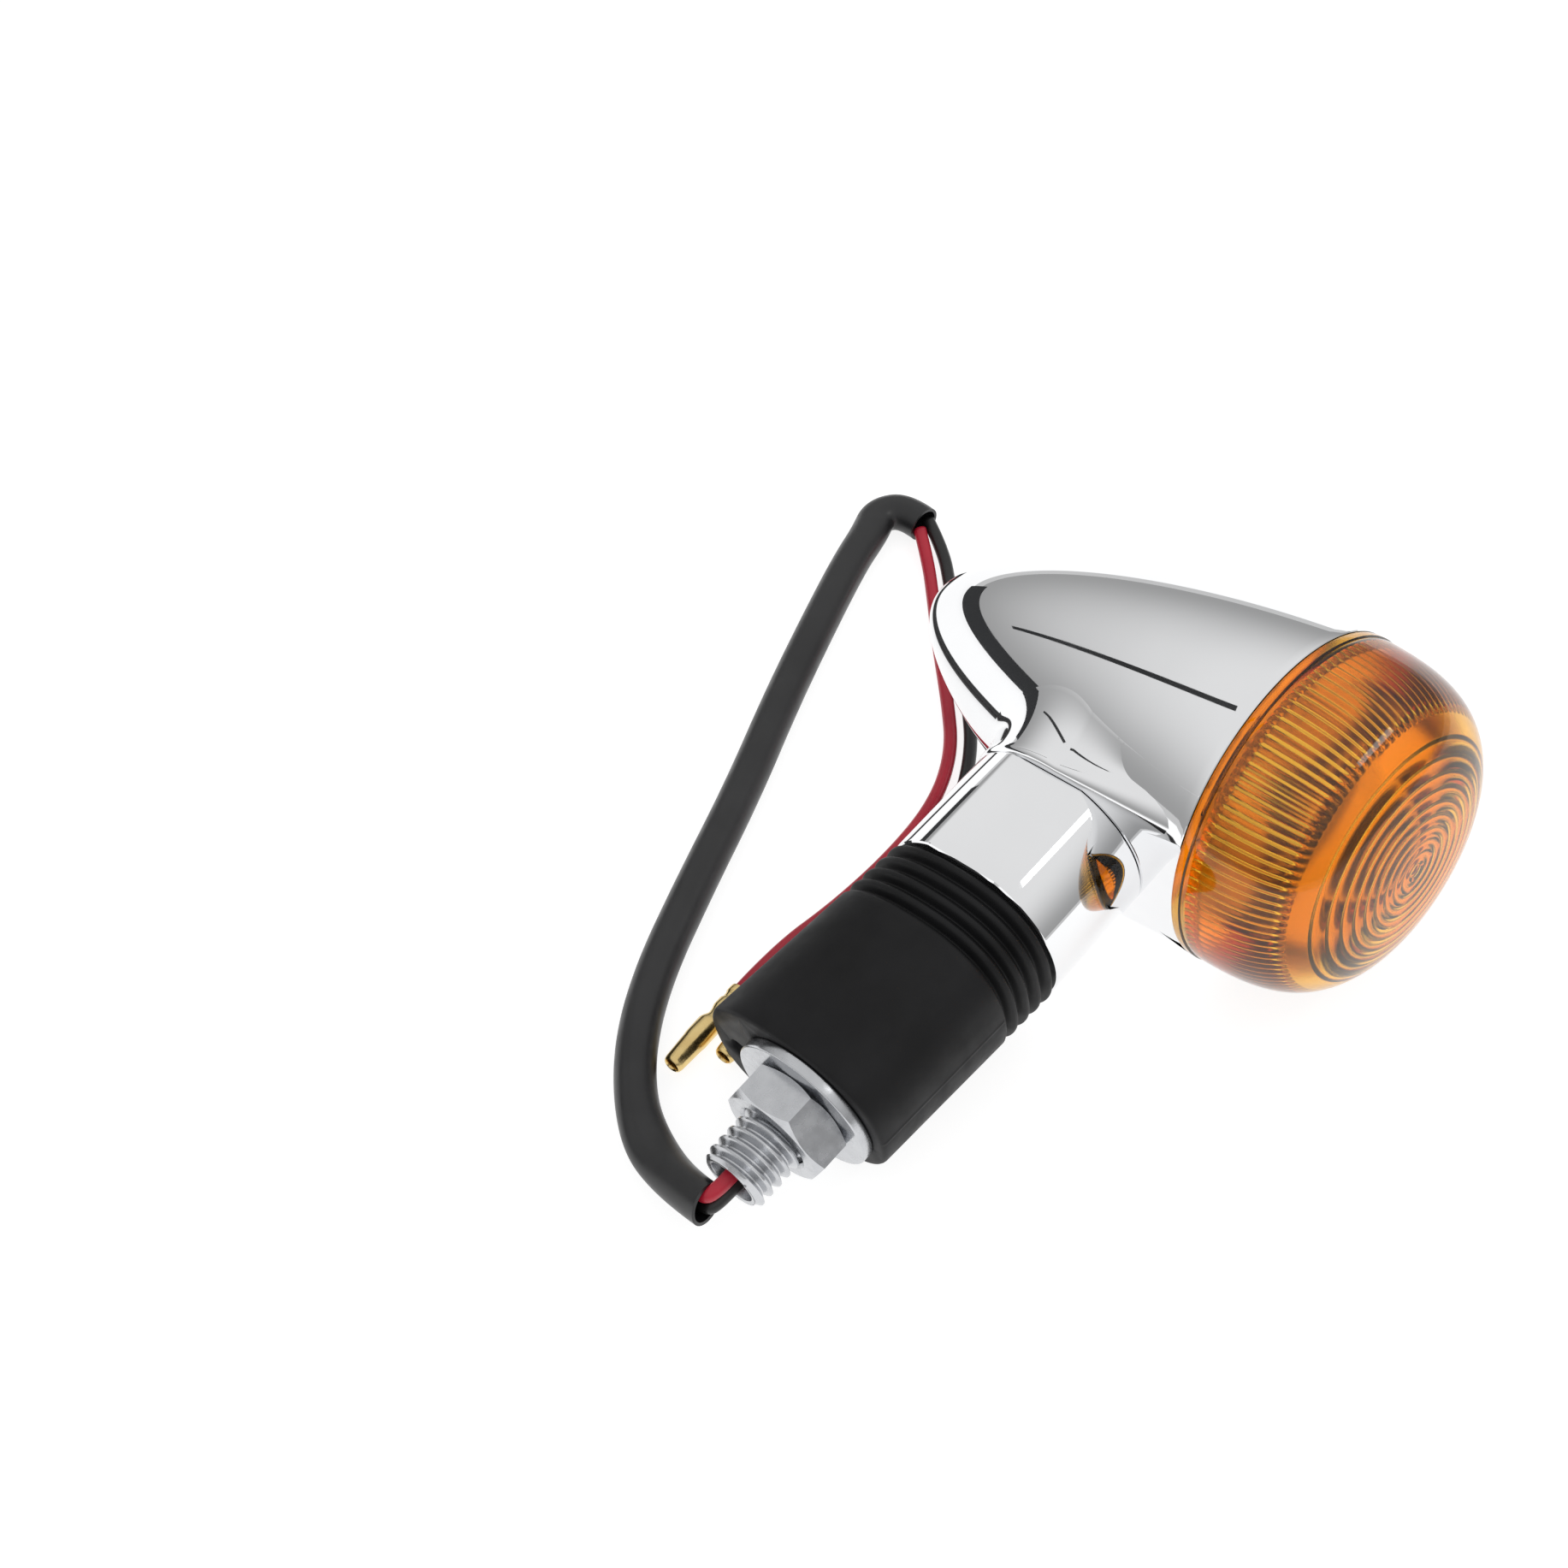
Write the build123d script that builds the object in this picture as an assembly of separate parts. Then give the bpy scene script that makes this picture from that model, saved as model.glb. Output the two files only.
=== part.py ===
from build123d import *
import math
import os

# Motorcycle turn signal indicator: a chrome bullet head with an amber lens, on a chrome
# stem and a rubber boot with a hollow threaded stud, lying on its side on a flat surface.
#
# Working frame, mm: +X runs along the stalk toward the stud's free end, +Y points the
# lens's way, +Z is up, and the origin is where the stalk's axis meets the bullet's axis.
# The row frame is the same frame rolled and pitched to the pose in which the indicator
# lies, with its origin on the surface under the middle of the rigid parts.

# ---- head -------------------------------------------------------------------------
RIM_RADIUS = 24.05        # the shell's open end, where the lens meets it
RIM_Y = 21.7
NOSE_Y = -39.7
OGIVE_LENGTH_POWER = 1.42
OGIVE_ROUND_POWER = 0.546
SHELL_WALL = 1.6
BULLET_LEAN = 2.3         # degrees that the bullet's axis leans toward the stud
MOUTH_RADIUS = 20.48      # bore that takes the lens's neck
MOUTH_FLOOR_Y = 14.0
LEDGE_RADIUS = 18.6       # bore of the ledge that the reflector rests on
LEDGE_OUTER = 22.0        # the ring inside the shell that the mouth and the ledge are cut in
LEDGE_DEPTH = 1.5
BOSS_START_Y = 5.5        # the boss's straight sides run from here to the rim
BOSS_HALF_WIDTH = 14.2
BOSS_FLARE = 1.4          # extra half width at the rim
BOSS_ROUND = 4.5
BOSS_RIM_STEP = 0.6       # the boss stops this far short of the rim's plane
COLLAR_RADIUS = 14.0      # the boss round the stem's end
COLLAR_FLARE = 5.0        # how much it widens toward the bullet
COLLAR_DEPTH = 9.0

# ---- lens -------------------------------------------------------------------------
LENS_RADIUS = 23.94
LENS_START_Y = 19.6       # centre of the superellipse that the lens's side follows
LENS_FRONT_Y = 42.3
LENS_POWER = 3.32
LENS_WALL = 2.0
LENS_GAP = 0.05           # between the lens's rim and the shell's rim
NECK_RADIUS = 20.40       # coarse thread, modelled plain
NECK_BORE = 18.2
NECK_END_Y = 14.8
RING_GROOVE_Y = 19.6
RING_SECTION = 0.6        # radius of the O-ring's section
RING_CENTRE_RADIUS = 19.65
RING_ROOM = 0.25          # between the O-ring and its groove
LENS_BEAD = 1.6           # height of the rim that joins the dome to the neck

# ---- bulb and socket ------------------------------------------------------------------
DISH_RADIUS = 20.2
DISH_THICKNESS = 0.6
DISH_BACK_Y = 9.3
DISH_FLOOR_RADIUS = 11.0  # flat floor round the socket
DISH_SLOPE_RADIUS = 18.2  # where the slope meets the lip
FIT_GAP = 0.05            # radial gap of the pieces that sit on one another inside the head
SOCKET_RADIUS = 8.6
SOCKET_BORE = 7.8
SOCKET_BACK_Y = -13.0
SOCKET_FRONT_Y = 9.9
SOCKET_FLOOR = 1.0
SOCKET_WIRE_HOLE = 3.0
SLOT_ROOM = 0.3           # each side of a bayonet pin
BASE_RADIUS = 7.5         # 15 mm bayonet cap
BASE_BACK_Y = -6.0
BASE_FRONT_Y = 10.5
PIN_RADIUS = 1.0
PIN_REACH = 8.4
PIN_Y = 2.5
PIN_ROOM = 1.6            # from the pin's centre to the end of the socket's slot
BASE_WALL = 0.6
BASE_FLOOR = 1.2
BEAD_RADIUS = 3.4         # black glass bead in the cap's floor
SOLDER_RADIUS = 1.8
SOLDER_PROUD = 0.28
DISC_BACK_Y = BASE_BACK_Y - 2.4   # the insulating disc's back face
DISC_THICKNESS = 1.6
DISC_GAP = 0.3            # between the disc and the socket's wall
CONTACT_RADIUS = 2.0
CONTACT_HEAD_RADIUS = 2.8
CONTACT_TAIL = 1.2
CONTACT_CLEAR = 0.3       # between the contact's head and the cap
SPRING_RADIUS = 5.6
SPRING_WIRE = 0.4         # radius of the spring's wire
SPRING_TURNS = 2.5
GLASS_RADIUS = 11.5
GLASS_CENTRE_Y = 23.5
GLASS_WALL = 0.7
GLASS_SEAT = 3.5          # how deep the glass stands in the cap
GLASS_FOOT = 1.2
POST_RADIUS = 0.35
POST_SPREAD = 4.0
COIL_RADIUS = 0.6
BULB_TRAVEL = 2.0         # push against the contact spring before it turns out

# ---- stem -------------------------------------------------------------------------
STEM_RADIUS = 13.7
STEM_TOP_X = 21.6
STEM_FOOT_X = 39.1
FLAT_OFFSET = 12.55       # wrench flats, either side of the axis
SPIGOT_RADIUS = 5.0       # fine thread, modelled plain
SPIGOT_TOP_X = 12.4
ANCHOR_RADIUS = 5.5
ANCHOR_END_X = 42.1
WIRE_BORE = 3.3
PAD_X = 18.4              # inner face that the stem's nut is drawn up to
SEAT_RADIUS = 10.6
LUG_RADIUS = 7.6
LUG_SHEET = 0.8
LOCK_WASHER_THICKNESS = 1.2
STEM_NUT_ACROSS = 14.0
STEM_NUT_HEIGHT = 3.5

# ---- rubber boot ------------------------------------------------------------------------
NECK_END_X = 48.0         # the four ribs lie between the stem's foot and here
RIB_COUNT = 4
RIB_START = 0.3
RIB_PITCH = 2.2
RIB_WIDTH = 1.5
RIB_DEPTH = 1.1
BOOT_END_X = 71.4
OVAL_POWER = 2.4
TOP_HALF_LENGTH = 13.4
TOP_HALF_WIDTH = 12.7
END_HALF_LENGTH = 14.4
END_HALF_WIDTH = 11.4
END_OFFSET_Y = -2.3
DRAIN_Y = -12.3
DRAIN_RADIUS = 1.5
DRAIN_DEPTH = 7.0

# ---- stud, washer and nut: 3/8-16 UNC -------------------------------------------------------
STUD_RADIUS = 9.525 / 2
STUD_START_X = 57.0
STUD_END_X = 86.2
PLATE_LENGTH = 20.0
PLATE_WIDTH = 15.0
PLATE_THICKNESS = 2.0
WASHER_RADIUS = 20.64 / 2
WASHER_BORE = 10.31 / 2
WASHER_THICKNESS = 1.65
NUT_ACROSS_FLATS = 14.29
NUT_HEIGHT = 5.6
NUT_BORE = STUD_RADIUS + 0.04
NUT_CHAMFER = 0.7

# ---- wires and sleeve -----------------------------------------------------------------
LEAD_RADIUS = 1.0         # both wires, from the lamp to the connectors
PAIR = 1.15               # each wire's distance from the middle of the pair
SLEEVE_RADIUS = 2.8
CONNECTOR_RADIUS = 1.7
CONNECTOR_LENGTH = 9.0
NOSE_RADIUS = 1.4
CRIMP_RADIUS = 1.4
CRIMP_LENGTH = 5.0
SHOULDER = 1.2            # cone between the crimp and the terminal's wall
NOSE_LENGTH = 5.0
TERMINAL_WALL = 0.45

TIGHTEST_LEAD_BEND = 3.6
CRIMP_X = 12.4            # bottom of the ground terminal's barrel
CRIMP_OUT = 10.2          # the barrel's distance from the stalk's axis
TERMINAL_TURN = 60        # degrees round the stalk's axis
BARREL_RADIUS = 1.6
BARREL_BELOW = 2.8        # the barrel reaches this far past the lead's end, and this far back
BARREL_ABOVE = 0.8
TONGUE_WIDTH = 3.0
LEAD_SPLIT = 0.1          # gap between the stretches of one lead where the neck bends
LEAD_SPLIT_X = 82.5       # where the inner leads hand over to the wires outside

PAST = 1.0                # how far a cutting tool runs past the face that it cuts
ROOM = 60.0               # a block larger than the part that it trims

# ---- rest pose ----------------------------------------------------------------------
ROLL = 8.5                # degrees, lifts the lens end
PITCH = 7.45              # degrees, lowers the stud end

REST_TURN = Location((0, 0, 0), (0, PITCH, 0)) * Location((0, 0, 0), (ROLL, 0, 0))
BULLET = Location((0, 0, 0), (0, 0, -BULLET_LEAN))


# ---- helpers ------------------------------------------------------------------------
def along_x(radius, start, end, y=0, z=0):
    """A cylinder parallel to X."""
    length = end - start
    return Pos(start + length / 2, y, z) * Rot(0, 90, 0) * Cylinder(radius, length)


def along_y(radius, start, end, x=0, z=0):
    """A cylinder parallel to Y."""
    length = end - start
    return Pos(x, start + length / 2, z) * Rot(90, 0, 0) * Cylinder(radius, length)


def turned(*corners):
    """A solid of revolution about Y from (radius, y) corners."""
    return revolve(make_face(Polyline(*corners, close=True)), Axis.Y)


def ogive_radius(y, radius, nose):
    part = min((RIM_Y - y) / (RIM_Y - nose), 1.0)
    return radius * (1 - part ** OGIVE_LENGTH_POWER) ** OGIVE_ROUND_POWER


def ogive(radius, nose):
    """The bullet form, closed at the rim."""
    stops = (0.997, 0.985, 0.95, 0.88, 0.75, 0.55, 0.35, 0.15, 0.0)
    heights = [RIM_Y - stop * (RIM_Y - nose) for stop in stops]
    side = [(ogive_radius(y, radius, nose), y) for y in heights]
    curve = Spline((0, nose), *side)
    edges = [curve, Line((radius, RIM_Y), (0, RIM_Y)), Line((0, RIM_Y), (0, nose))]
    return revolve(make_face(edges), Axis.Y)


def dome(radius, front):
    """The lens form, closed at the plane where its side starts."""
    stops = (0.0, 0.2, 0.4, 0.6, 0.75, 0.86, 0.94, 0.98, 0.996)
    depth = front - LENS_START_Y
    side = [(radius * (1 - stop ** LENS_POWER) ** (1 / LENS_POWER), LENS_START_Y + stop * depth)
            for stop in stops]
    curve = Spline(*side, (0.3 * radius, front - 0.01), (0, front))
    edges = [curve, Line((0, front), (0, LENS_START_Y)), Line((0, LENS_START_Y), (radius, LENS_START_Y))]
    return revolve(make_face(edges), Axis.Y)


def oval(x, inset=0.0):
    """The boot's section at x, a superellipse that grows and shifts toward the boot's end."""
    share = (x - STEM_FOOT_X) / (BOOT_END_X - STEM_FOOT_X)
    length = TOP_HALF_LENGTH + share * (END_HALF_LENGTH - TOP_HALF_LENGTH) - inset
    width = TOP_HALF_WIDTH + share * (END_HALF_WIDTH - TOP_HALF_WIDTH) - inset
    points = []
    for step in range(12):
        angle = math.radians(30 * step)
        c, s = math.cos(angle), math.sin(angle)
        y = share * END_OFFSET_Y + length * math.copysign(abs(c) ** (2 / OVAL_POWER), c)
        z = width * math.copysign(abs(s) ** (2 / OVAL_POWER), s)
        points.append((x, y, z))
    return make_face(Spline(*points, periodic=True))


def sleeve_of(start, end, inset=0.0):
    """The boot's solid between two places along the stalk."""
    return loft([oval(start, inset), oval(end, inset)])


def ring_x(outer, inner, start, end):
    return along_x(outer, start, end) - along_x(inner, start - PAST, end + PAST)


def corner_radii(points):
    """Each corner's arc, as large as its two runs allow."""
    radii = []
    for before, corner, after in zip(points, points[1:], points[2:]):
        first, second = Vector(*corner) - Vector(*before), Vector(*after) - Vector(*corner)
        turn = math.radians(first.get_angle(second))
        radii.append(0.45 * min(first.length, second.length) / math.tan(turn / 2))
    return radii


def cord(points, radius, largest=1000.0):
    """A round cord: straight runs joined by tangent arcs."""
    radii = [min(r, largest) for r in corner_radii(points)]
    path = FilletPolyline(*points, radius=radii)
    return sweep(Plane(origin=path @ 0, z_dir=path % 0) * Circle(radius), path=path)


# ---- head parts ---------------------------------------------------------------------
def stalk_column(start, end):
    """The stem's outline with its two wrench flats."""
    return along_x(STEM_RADIUS, start, end) & Box(4 * ROOM, ROOM, 2 * FLAT_OFFSET)


def shell_boss():
    """The pad that the stem stands on, from the bullet's side to the rim."""
    far = BOSS_HALF_WIDTH + BOSS_FLARE
    rim = RIM_Y - BOSS_RIM_STEP
    plan = Polyline((0, BOSS_START_Y, BOSS_HALF_WIDTH), (0, rim, far),
                    (0, rim, -far), (0, BOSS_START_Y, -BOSS_HALF_WIDTH), close=True)
    block = extrude(make_face(plan), amount=STEM_TOP_X, dir=(1, 0, 0))
    lower = block.faces().sort_by(Axis.X)[-1].edges().filter_by(Axis.Y, tolerance=10)
    middle = STEM_TOP_X - COLLAR_DEPTH / 2
    collar = Pos(middle, 0, 0) * Rot(0, 90, 0) * Cone(COLLAR_RADIUS + COLLAR_FLARE, COLLAR_RADIUS,
                                                      COLLAR_DEPTH)
    return fillet(lower, BOSS_ROUND) + (collar & Box(ROOM, ROOM, 2 * COLLAR_RADIUS))


def housing_shell():
    body = BULLET * ogive(RIM_RADIUS, NOSE_Y) + shell_boss()
    body -= BULLET * ogive(RIM_RADIUS - SHELL_WALL, NOSE_Y + SHELL_WALL)
    ledge = MOUTH_FLOOR_Y - LEDGE_DEPTH
    body += BULLET * (along_y(LEDGE_OUTER, ledge, RIM_Y)
                      - along_y(LEDGE_RADIUS, ledge - PAST, MOUTH_FLOOR_Y + PAST))
    body += along_x(SEAT_RADIUS, PAD_X, STEM_TOP_X - PAST / 2)
    body -= along_x(SEAT_RADIUS, 0, PAD_X)
    body -= Pos(STEM_TOP_X + ROOM / 2, 0, 0) * Box(ROOM, ROOM, ROOM)
    body -= BULLET * along_y(MOUTH_RADIUS, MOUTH_FLOOR_Y, RIM_Y + PAST)
    body -= BULLET * along_y(2 * RIM_RADIUS, RIM_Y, RIM_Y + ROOM / 2)
    return body - along_x(SPIGOT_RADIUS + FIT_GAP, SPIGOT_TOP_X, STEM_TOP_X + PAST)


def reflector():
    lip = MOUTH_FLOOR_Y + FIT_GAP / 2
    back, sheet = DISH_BACK_Y, DISH_THICKNESS
    hole = SOCKET_RADIUS + FIT_GAP
    return turned((hole, back), (DISH_FLOOR_RADIUS, back), (DISH_SLOPE_RADIUS, lip), (DISH_RADIUS, lip),
                  (DISH_RADIUS, lip + sheet), (DISH_SLOPE_RADIUS - sheet / 2, lip + sheet),
                  (DISH_FLOOR_RADIUS - sheet / 2, back + sheet), (hole, back + sheet))


def socket_shell():
    tube = along_y(SOCKET_RADIUS, SOCKET_BACK_Y, SOCKET_FRONT_Y)
    tube -= along_y(SOCKET_BORE, SOCKET_BACK_Y + SOCKET_FLOOR, SOCKET_FRONT_Y + PAST)
    tube -= along_y(SOCKET_WIRE_HOLE, SOCKET_BACK_Y - PAST, SOCKET_BACK_Y + 2 * SOCKET_FLOOR)
    slot_back, slot_front = PIN_Y - BULB_TRAVEL - PIN_ROOM, SOCKET_FRONT_Y + PAST
    slot = Box(2 * (PIN_RADIUS + SLOT_ROOM), slot_front - slot_back, ROOM)
    return tube - Pos(0, (slot_back + slot_front) / 2, 0) * slot


def socket_insulator():
    disc = along_y(SOCKET_BORE - DISC_GAP, DISC_BACK_Y, DISC_BACK_Y + DISC_THICKNESS)
    return disc - along_y(CONTACT_RADIUS, DISC_BACK_Y - PAST, DISC_BACK_Y + DISC_THICKNESS + PAST)


def centre_contact():
    front = DISC_BACK_Y + DISC_THICKNESS
    pin = along_y(CONTACT_RADIUS, DISC_BACK_Y - CONTACT_TAIL, front)
    return pin + along_y(CONTACT_HEAD_RADIUS, front, BASE_BACK_Y - CONTACT_CLEAR)


def contact_spring():
    start = SOCKET_BACK_Y + SOCKET_FLOOR + SPRING_WIRE + FIT_GAP
    height = DISC_BACK_Y - SPRING_WIRE - FIT_GAP - start
    path = Helix(pitch=height / SPRING_TURNS, height=height, radius=SPRING_RADIUS)
    wire = sweep(Plane(origin=path @ 0, z_dir=path % 0) * Circle(SPRING_WIRE), path=path)
    return Pos(0, start, 0) * Rot(-90, 0, 0) * wire


def bulb_base():
    cup = along_y(BASE_RADIUS, BASE_BACK_Y, BASE_FRONT_Y)
    cup -= along_y(BASE_RADIUS - BASE_WALL, BASE_BACK_Y + BASE_FLOOR, BASE_FRONT_Y + PAST)
    cup -= along_y(BEAD_RADIUS, BASE_BACK_Y - PAST, BASE_BACK_Y + BASE_FLOOR + PAST)
    reach = Cylinder(PIN_RADIUS, 2 * PIN_REACH) - Cylinder(2 * PIN_RADIUS, 2 * BASE_RADIUS - PAST)
    return cup + Pos(0, PIN_Y, 0) * reach


def bulb_cap_glass():
    """The black glass bead that holds the bottom contact in the cap."""
    front = BASE_BACK_Y + BASE_FLOOR
    hole = along_y(SOLDER_RADIUS, BASE_BACK_Y - PAST, front + PAST)
    return along_y(BEAD_RADIUS, BASE_BACK_Y, front) - hole


def bulb_contact():
    return along_y(SOLDER_RADIUS, BASE_BACK_Y - SOLDER_PROUD, BASE_BACK_Y + BASE_FLOOR)


def bulb_glass():
    neck = BASE_RADIUS - BASE_WALL - DISC_GAP
    start = BASE_FRONT_Y - GLASS_SEAT
    outer = Pos(0, GLASS_CENTRE_Y, 0) * Sphere(GLASS_RADIUS) + along_y(neck, start, GLASS_CENTRE_Y)
    inner = Pos(0, GLASS_CENTRE_Y, 0) * Sphere(GLASS_RADIUS - GLASS_WALL)
    return outer - inner - along_y(neck - GLASS_WALL, start + GLASS_FOOT, GLASS_CENTRE_Y)


def bulb_filament():
    """Two support wires and the coil between them, standing on the glass's foot."""
    foot = BASE_FRONT_Y - GLASS_SEAT + GLASS_FOOT
    top = GLASS_CENTRE_Y + PAST
    posts = [along_y(POST_RADIUS, foot, top, x=side * POST_SPREAD) for side in (-1, 1)]
    ends = POST_SPREAD + POST_RADIUS / 2
    return posts[0] + posts[1] + along_x(COIL_RADIUS, -ends, ends, y=top)


def lens():
    rim = RIM_Y + LENS_GAP
    body = dome(LENS_RADIUS, LENS_FRONT_Y) - Pos(0, rim - ROOM / 2, 0) * Box(ROOM, ROOM, ROOM)
    body -= dome(LENS_RADIUS - LENS_WALL, LENS_FRONT_Y - LENS_WALL)
    neck = along_y(NECK_RADIUS, NECK_END_Y, rim) + along_y(LENS_RADIUS - 1, rim, rim + LENS_BEAD)
    neck -= along_y(NECK_BORE, NECK_END_Y - PAST, rim + 2 * LENS_BEAD)
    half = RING_SECTION + RING_ROOM
    low, high = RING_GROOVE_Y - half, RING_GROOVE_Y + half
    neck -= along_y(ROOM / 2, low, high) - along_y(RING_CENTRE_RADIUS - half, low - PAST, high + PAST)
    return body + neck


def lens_gasket():
    return Pos(0, RING_GROOVE_Y, 0) * Rot(90, 0, 0) * Torus(RING_CENTRE_RADIUS, RING_SECTION)


def stem():
    column = stalk_column(STEM_TOP_X, STEM_FOOT_X)
    column += along_x(SPIGOT_RADIUS, SPIGOT_TOP_X, STEM_TOP_X)
    column += along_x(ANCHOR_RADIUS, STEM_FOOT_X, ANCHOR_END_X)
    return column - along_x(WIRE_BORE, SPIGOT_TOP_X - PAST, ANCHOR_END_X + PAST)


def ground_terminal():
    """A flat ring on the stem's thread, bent up into a crimped barrel for the black lead."""
    start, end = CRIMP_X - BARREL_BELOW, CRIMP_X + BARREL_ABOVE
    lug = ring_x(LUG_RADIUS, SPIGOT_RADIUS + FIT_GAP, PAD_X - LUG_SHEET, PAD_X)
    inner = CRIMP_OUT - BARREL_RADIUS + LUG_SHEET / 2
    middle = inner - LUG_SHEET / 2
    tongue = Pos(PAD_X - LUG_SHEET / 2, -middle + LUG_SHEET, 0) * Box(LUG_SHEET, TONGUE_WIDTH, TONGUE_WIDTH)
    web_start = end - LUG_SHEET / 2
    web = Pos((web_start + PAD_X) / 2, -middle - LUG_SHEET / 2, 0) * Box(PAD_X - web_start, LUG_SHEET,
                                                                         TONGUE_WIDTH)
    barrel = along_x(BARREL_RADIUS, start, end, y=-CRIMP_OUT)
    barrel -= along_x(LEAD_RADIUS, start - PAST, CRIMP_X, y=-CRIMP_OUT)
    return Rot(TERMINAL_TURN, 0, 0) * (lug + tongue + web + barrel)


def stem_lock_washer():
    start = PAD_X - LUG_SHEET - LOCK_WASHER_THICKNESS
    return ring_x(LUG_RADIUS - FIT_GAP, SPIGOT_RADIUS + FIT_GAP, start, PAD_X - LUG_SHEET)


def hexagon(across, start, end):
    profile = Plane.YZ * RegularPolygon(across / 2, 6, major_radius=False)
    return Pos(start, 0, 0) * extrude(profile, amount=end - start)


def stem_nut():
    end = PAD_X - LUG_SHEET - LOCK_WASHER_THICKNESS
    start = end - STEM_NUT_HEIGHT
    return hexagon(STEM_NUT_ACROSS, start, end) - along_x(SPIGOT_RADIUS + FIT_GAP, start - PAST, PAD_X)


# ---- stalk parts --------------------------------------------------------------------
def rubber_neck():
    """The boot's upper end, a core with four ribs around it."""
    body = sleeve_of(STEM_FOOT_X, NECK_END_X, RIB_DEPTH)
    for rib in range(RIB_COUNT):
        start = STEM_FOOT_X + RIB_START + rib * RIB_PITCH
        body += sleeve_of(start, start + RIB_WIDTH)
    body -= along_x(ANCHOR_RADIUS, STEM_FOOT_X - PAST, ANCHOR_END_X)
    return body - along_x(WIRE_BORE, STEM_FOOT_X, NECK_END_X + PAST)


def rubber_boot():
    body = sleeve_of(NECK_END_X, BOOT_END_X)
    body -= along_x(WIRE_BORE, NECK_END_X - PAST, STUD_START_X + PAST)
    body -= along_x(STUD_RADIUS, STUD_START_X, BOOT_END_X + PAST)
    body -= stud_plate_form()
    return body - along_x(DRAIN_RADIUS, BOOT_END_X - DRAIN_DEPTH, BOOT_END_X + PAST, y=DRAIN_Y)


def stud_plate_form():
    middle = STUD_START_X + PLATE_THICKNESS / 2
    return Pos(middle, 0, 0) * Box(PLATE_THICKNESS, PLATE_LENGTH, PLATE_WIDTH)


def threaded_stud():
    shank = along_x(STUD_RADIUS, STUD_START_X, STUD_END_X)
    shank += stud_plate_form()
    return shank - along_x(WIRE_BORE, STUD_START_X - PAST, STUD_END_X + PAST)


def flat_washer():
    return ring_x(WASHER_RADIUS, WASHER_BORE, BOOT_END_X, BOOT_END_X + WASHER_THICKNESS)


def hex_nut():
    start = BOOT_END_X + WASHER_THICKNESS
    end = start + NUT_HEIGHT
    corner = NUT_ACROSS_FLATS / math.sqrt(3)
    barrel = chamfer(along_x(corner, start, end).edges(), NUT_CHAMFER)
    return (hexagon(NUT_ACROSS_FLATS, start, end) & barrel) - along_x(NUT_BORE, start - PAST, end + PAST)


# ---- leads inside the indicator -----------------------------------------------------
def red_lead():
    """From the centre contact, out of the socket's back and into the stem."""
    start = DISC_BACK_Y - CONTACT_TAIL
    points = [(-0.35, start, 0), (-0.6, -17.5, 0), (4.5, -20.0, PAIR), (10.3, -13, PAIR),
              (10.6, -0.3, PAIR), (24, 0, PAIR), (STEM_FOOT_X + 0.2, -0.1, PAIR)]
    return cord(points, LEAD_RADIUS, TIGHTEST_LEAD_BEND)


def black_lead():
    """From the ground terminal's crimp into the stem."""
    turn = math.radians(TERMINAL_TURN)
    y, z = -CRIMP_OUT * math.cos(turn), -CRIMP_OUT * math.sin(turn)
    points = [(CRIMP_X, y, z), (CRIMP_X - 5, y, z), (10.3, -0.3, -PAIR), (24, 0, -PAIR),
              (STEM_FOOT_X + 0.2, -0.1, -PAIR)]
    return cord(points, LEAD_RADIUS, TIGHTEST_LEAD_BEND)


def straight_lead(side, start, end):
    return along_x(LEAD_RADIUS, start, end, z=side * PAIR)


# ---- cord: places on the resting surface, measured from under the axes' crossing -----------
STUD_EXIT_X = 89.2        # where the wires leave the stalk's axis
SLEEVE_ROUTE = [(88.9, -3.2, 8.1), (87.8, -9.2, 5.0), (84.4, -17.2, 3.0), (77.4, -24.8, 3.0),
                (67.2, -31.2, 3.0), (52.5, -37.2, 3.0), (36.0, -43.4, 3.0), (18.5, -51.0, 3.0),
                (2.0, -57.4, 3.0), (-8.5, -61.2, 3.0), (-14.8, -62.9, 3.0), (-19.0, -64.6, 3.0),
                (-22.4, -62.0, 3.0), (-22.0, -57.9, 3.0)]
RED_ROUTE = [(-20.8, -57.7, 2.9), (-17.6, -53.4, 1.6), (-12.6, -48.2, 1.1), (-5.4, -41.2, 1.1),
             (2.2, -33.2, 1.1), (9.0, -26.8, 1.1), (18.0, -22.6, 1.1), (29.0, -21.2, 1.1),
             (41.0, -21.3, 1.1), (52.1, -22.3, 1.75), (60.8, -21.6, 1.75)]
BLACK_ROUTE = [(-23.2, -58.0, 2.9), (-20.8, -52.9, 1.6), (-15.8, -47.4, 1.1), (-7.8, -39.2, 1.1),
               (0.8, -30.4, 1.1), (7.2, -24.6, 1.1), (16.4, -19.6, 1.1), (27.5, -18.2, 1.1),
               (38.0, -17.9, 1.1), (47.5, -18.3, 1.75), (55.4, -17.6, 1.75)]


def exit_wire(side):
    """From inside the stud's bore, over its edge and into the sleeve's mouth."""
    inside = to_surface(Vector(LEAD_SPLIT_X, 0, side * PAIR))
    outside = to_surface(Vector(STUD_EXIT_X, 0, side * PAIR))
    mouth = Vector(*SLEEVE_ROUTE[0])
    along = (Vector(*SLEEVE_ROUTE[1]) - mouth).normalized()
    above = (Vector(0, 0, 1) - along * along.Z).normalized()
    end = mouth + above * side * PAIR
    return cord([inside, outside, end], LEAD_RADIUS)


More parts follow.
